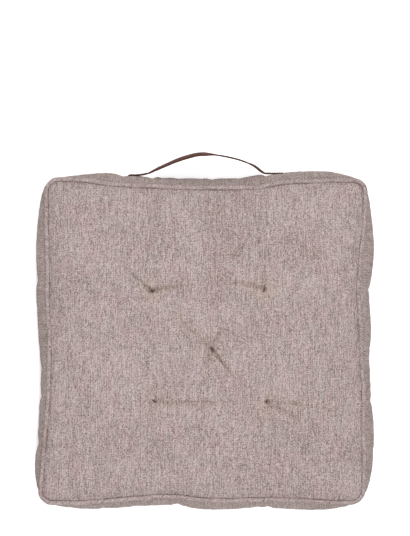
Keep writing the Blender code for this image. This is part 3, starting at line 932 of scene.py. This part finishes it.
# A dark brown twine, darkened further as painted shade at the bottom of each pit
TWINE_TONE_WITH_PIT_SHADE = (0.055, 0.014, 0.011)
PIT_MIDDLE = 0.0008


def waxed(name, tone, ply_length):
    """Thread or twine: dark, slightly waxy, with its plies showing."""
    made, tree, skin = shader(name, 0.55)
    ply = tree.nodes.new("ShaderNodeTexWave")
    ply.bands_direction = "DIAGONAL"
    ply.inputs["Scale"].default_value = 1 / ply_length / 6.28
    tree.links.new(weave_place(tree), ply.inputs["Vector"])
    between = tuple(0.6 * part for part in tone)
    tree.links.new(blend_colour(tree, ply.outputs["Fac"], between, tone), skin.inputs["Base Color"])
    bumped(tree, skin, ply.outputs["Fac"], 1.0, 0.0002)
    return made


twine_material = waxed("tufting_twine", TWINE_TONE_WITH_PIT_SHADE, TWINE_PLY)
mid_height = (SEAM_HEIGHT["top"] + SEAM_HEIGHT["bottom"]) / 2
for number, tuft in enumerate(TUFTS):
    in_pit = np.hypot(cloth_points[:, 0] - tuft.x, cloth_points[:, 1] - tuft.y) < PIT_MIDDLE
    heights = cloth_points[in_pit, 2]
    high = heights[heights > mid_height].mean() + TWINE_STANDS
    low = heights[heights < mid_height].mean() - TWINE_STANDS
    turn = math.radians(STITCH_TURNS[number])
    lay = np.array([math.cos(turn), math.sin(turn)])
    outline = []
    for bend in np.linspace(0, math.pi / 2, 5):
        reach = STITCH_HALF - TWINE_BEND * (1 - math.sin(bend))
        outline.append((reach, high - TWINE_BEND * (1 - math.cos(bend))))
    half = outline[::-1] + [(-x, z) for x, z in outline]
    lower_half = [(x, high + low - z) for x, z in half]
    ring = half + lower_half[::-1]
    path = [(tuft.x + s * lay[0], tuft.y + s * lay[1], z) for s, z in ring]
    tie = sweep(f"tuft_twine_{number + 1}", path, TWINE, 8, True)
    tie.data.materials.append(twine_material)
    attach(tie, "cushion")
    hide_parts(f"tuft_tie_{number + 1}")


# ---------------------------------------------------------------------------------------------
# Handle. One strap of brown bridle leather standing on edge against the boxing, its two ends sewn
# flat to the back side and the middle left bowed out, so a hand goes behind it.

STRAP_WIDTH = 0.022
STRAP_THICKNESS = 0.0021
STRAP_MIDDLE = (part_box("handle_end_left")[0].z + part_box("handle_end_left")[1].z) / 2
# The strap's middle line in plan, foot to foot
STRAP_LINE = (
    (-0.1139, 0.2466), (-0.0960, 0.2469), (-0.0840, 0.2496), (-0.0752, 0.2540),
    (-0.0582, 0.2617), (-0.0411, 0.2690), (-0.0240, 0.2745), (-0.0103, 0.2777),
    (0.0033, 0.2780), (0.0272, 0.2751), (0.0615, 0.2658), (0.0751, 0.2595),
    (0.0836, 0.2524), (0.0890, 0.2493), (0.0960, 0.2489), (0.1200, 0.2492),
)
# How far it leans back at each place along it, in degrees
STRAP_TWIST = (
    (-0.114, 2), (-0.085, 4), (-0.070, 10), (-0.030, 15), (0.000, 14), (0.014, 5),
    (0.024, 2), (0.060, 2), (0.076, 8), (0.084, 8), (0.092, 3), (0.121, 2),
)
STRAP_STATIONS = 150
STRAP_SMOOTHINGS = 6
STRAP_CORNER = 0.004
EDGE_POINTS = 5
EDGE_ROUND = 0.8
FLAT_POINTS = 9
PORES = 1100
BURNISHED_WIDTH = (0.0004, 0.0022)
LEATHER_TONE = (0.072, 0.017, 0.008)
BURNISHED_TONE = (0.007, 0.003, 0.002)

line = np.array(STRAP_LINE)
chord = np.concatenate([[0], np.cumsum(np.linalg.norm(np.diff(line, axis=0), axis=1))])
run = np.linspace(0, chord[-1], STRAP_STATIONS)
strap_xy = np.column_stack([eased(chord, line[:, 0], run), eased(chord, line[:, 1], run)])
for _ in range(STRAP_SMOOTHINGS):
    strap_xy[1:-1] = 0.25 * strap_xy[:-2] + 0.5 * strap_xy[1:-1] + 0.25 * strap_xy[2:]
twist_x, twist_angle = np.array(STRAP_TWIST, float).T
twist = np.radians(np.interp(strap_xy[:, 0], twist_x, twist_angle))
strap_ahead = np.gradient(strap_xy, axis=0)
strap_ahead /= np.linalg.norm(strap_ahead, axis=1)[:, None]
half_width, half_thick = STRAP_WIDTH / 2, STRAP_THICKNESS / 2
rounded = []
for turn in np.linspace(-math.pi / 2, math.pi / 2, EDGE_POINTS):
    wide = half_width - half_thick * EDGE_ROUND * (1 - math.cos(turn))
    rounded.append((wide, half_thick * math.sin(turn)))
flats = np.linspace(half_width - half_thick, -half_width + half_thick, FLAT_POINTS)[1:-1]
section = rounded + [(wide, half_thick) for wide in flats]
section += [(-wide, -thick) for wide, thick in section]

strap_body = bmesh.new()
uv = strap_body.loops.layers.uv.new("weave")
rings = []
for k, (x, y) in enumerate(strap_xy):
    tx, ty = strap_ahead[k]
    out = np.array([-ty, tx, 0.0])
    up = np.array([0.0, 0.0, 1.0])
    wide = math.cos(twist[k]) * up - math.sin(twist[k]) * out
    thick = math.cos(twist[k]) * out + math.sin(twist[k]) * up
    into_corner = max(0, STRAP_CORNER - min(run[k], run[-1] - run[k]))
    cut = STRAP_CORNER - math.sqrt(max(0, STRAP_CORNER**2 - into_corner**2))
    narrow = (half_width - cut) / half_width
    centre = np.array([x, y, STRAP_MIDDLE])
    rings.append([strap_body.verts.new(centre + wide * w * narrow + thick * t) for w, t in section])
sides = len(section)
edges = [math.dist(section[s], section[(s + 1) % sides]) for s in range(sides)]
around = np.concatenate([[0], np.cumsum(edges)])
for k in range(STRAP_STATIONS - 1):
    for s in range(sides):
        following = (s + 1) % sides
        here, ahead = rings[k], rings[k + 1]
        face = strap_body.faces.new((here[s], here[following], ahead[following], ahead[s]))
        face.smooth = True
        near, far = run[k], run[k + 1]
        places = ((near, around[s]), (near, around[s + 1]), (far, around[s + 1]), (far, around[s]))
        for corner, place in zip(face.loops, places):
            corner[uv].uv = place
strap_body.faces.new(rings[0])
strap_body.faces.new(list(reversed(rings[-1])))
bmesh.ops.recalc_face_normals(strap_body, faces=strap_body.faces)
strap_mesh = bpy.data.meshes.new("handle_strap")
strap_body.to_mesh(strap_mesh)
strap_body.free()
strap = bpy.data.objects.new("handle_strap", strap_mesh)
bpy.context.scene.collection.objects.link(strap)

leather, tree, skin = shader("strap_leather", 0.7)
skin.inputs["Specular IOR Level"].default_value = 0.12
place = weave_place(tree)
pores = tree.nodes.new("ShaderNodeTexVoronoi")
pores.inputs["Scale"].default_value = PORES
tree.links.new(place, pores.inputs["Vector"])
clouds = threads(tree, place, (0.006, 0.003), 3.0)
pale = tuple(1.5 * part for part in LEATHER_TONE)
dark = tuple(0.55 * part for part in LEATHER_TONE)
split = tree.nodes.new("ShaderNodeSeparateXYZ")
tree.links.new(place, split.inputs[0])
from_edge = reckon(tree, "PINGPONG", split.outputs[1], around[-1] / 4)
inner = from_to(tree, from_edge, *BURNISHED_WIDTH)
face_tone = blend_colour(tree, clouds, dark, pale)
tree.links.new(blend_colour(tree, inner, BURNISHED_TONE, face_tone), skin.inputs["Base Color"])
bumped(tree, skin, pores.outputs["Distance"], 0.5, 0.0002)
strap_mesh.materials.append(leather)
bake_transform(strap)
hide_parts("handle_loop", "handle_end_left", "handle_end_right")


# ---------------------------------------------------------------------------------------------
# Handle stitching. Waxed thread, saddle-stitched round a small rectangle through each strap end
# and the boxing behind it.

THREAD = 0.0004
THREAD_PLY = 0.0008
THREAD_TONE = (0.10, 0.072, 0.055)
THREAD_SUNK = 0.0005
THREAD_ARCH = 0.0006
STITCH = 0.0036
STITCH_GAP = 0.1  # the share of a stitch's length left at each end
STITCHES_IN = 0.0030
thread_material = waxed("leather_thread", THREAD_TONE, THREAD_PLY)
for name in ("left", "right"):
    low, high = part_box(f"handle_stitching_{name}")
    box_x = (low.x + THREAD_SUNK, high.x - THREAD_SUNK)
    box_z = (STRAP_MIDDLE - half_width + STITCHES_IN, STRAP_MIDDLE + half_width - STITCHES_IN)
    corners = [(box_x[0], box_z[0]), (box_x[1], box_z[0]), (box_x[1], box_z[1]), (box_x[0], box_z[1])]
    made = []
    for start, end in zip(corners, corners[1:] + corners[:1]):
        count = max(1, round(math.dist(start, end) / STITCH))
        for k in range(count):
            path = []
            for t in np.linspace(0, 1, 7):
                share = (k + STITCH_GAP + (1 - 2 * STITCH_GAP) * t) / count
                x = start[0] + (end[0] - start[0]) * share
                z = start[1] + (end[1] - start[1]) * share
                y = np.interp(x, strap_xy[:, 0], strap_xy[:, 1]) + half_thick - THREAD_SUNK
                path.append((x, y + THREAD_ARCH * math.sin(math.pi * t) ** 0.5, z))
            made.append(sweep("stitch", path, THREAD, 6, False))
    body = bmesh.new()
    for piece in made:
        body.from_mesh(piece.data)
    for piece in made:
        bpy.data.objects.remove(piece)
    mesh = bpy.data.meshes.new(f"strap_stitches_{name}")
    body.to_mesh(mesh)
    body.free()
    mesh.materials.append(thread_material)
    seam = bpy.data.objects.new(f"strap_stitches_{name}", mesh)
    bpy.context.scene.collection.objects.link(seam)
    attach(seam, "cushion")
    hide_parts(f"handle_stitching_{name}")


# ---------------------------------------------------------------------------------------------
# Studio. A white table top, one broad soft light overhead, and the camera looking straight down.

TABLE = 24.0
bpy.ops.mesh.primitive_plane_add(size=TABLE, location=(0, 0, -0.0002))
table = bpy.context.object
table.name = "white_table"
white, tree, skin = shader("white_table", 0.9)
skin.inputs["Base Color"].default_value = (0.93, 0.93, 0.93, 1)
skin.inputs["Emission Color"].default_value = (1, 1, 1, 1)
skin.inputs["Emission Strength"].default_value = 0.3
table.data.materials.append(white)
table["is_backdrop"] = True

lamp = bpy.data.lights.new("softbox", "AREA")
lamp.shape = "RECTANGLE"
lamp.size = 0.6
lamp.size_y = 6.0
lamp.energy = 149
softbox = bpy.data.objects.new("softbox", lamp)
softbox.location = (0.08, 0.18, 2.6)
bpy.context.scene.collection.objects.link(softbox)

world = bpy.data.worlds.new("studio")
world.use_nodes = True
world.node_tree.nodes["Background"].inputs["Color"].default_value = (1, 1, 1, 1)
world.node_tree.nodes["Background"].inputs["Strength"].default_value = 0.12
bpy.context.scene.world = world

CAMERA_ABOVE = 3.0
eye = bpy.data.cameras.new("camera")
eye.sensor_width = 36
eye.lens = 135.4
camera = bpy.data.objects.new("camera", eye)
camera.location = (0, 0.1086, (cad_low.z + cad_high.z) / 2 + CAMERA_ABOVE)
bpy.context.scene.collection.objects.link(camera)
bpy.context.scene.camera = camera
bpy.context.scene.view_settings.view_transform = "Standard"

low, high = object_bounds()
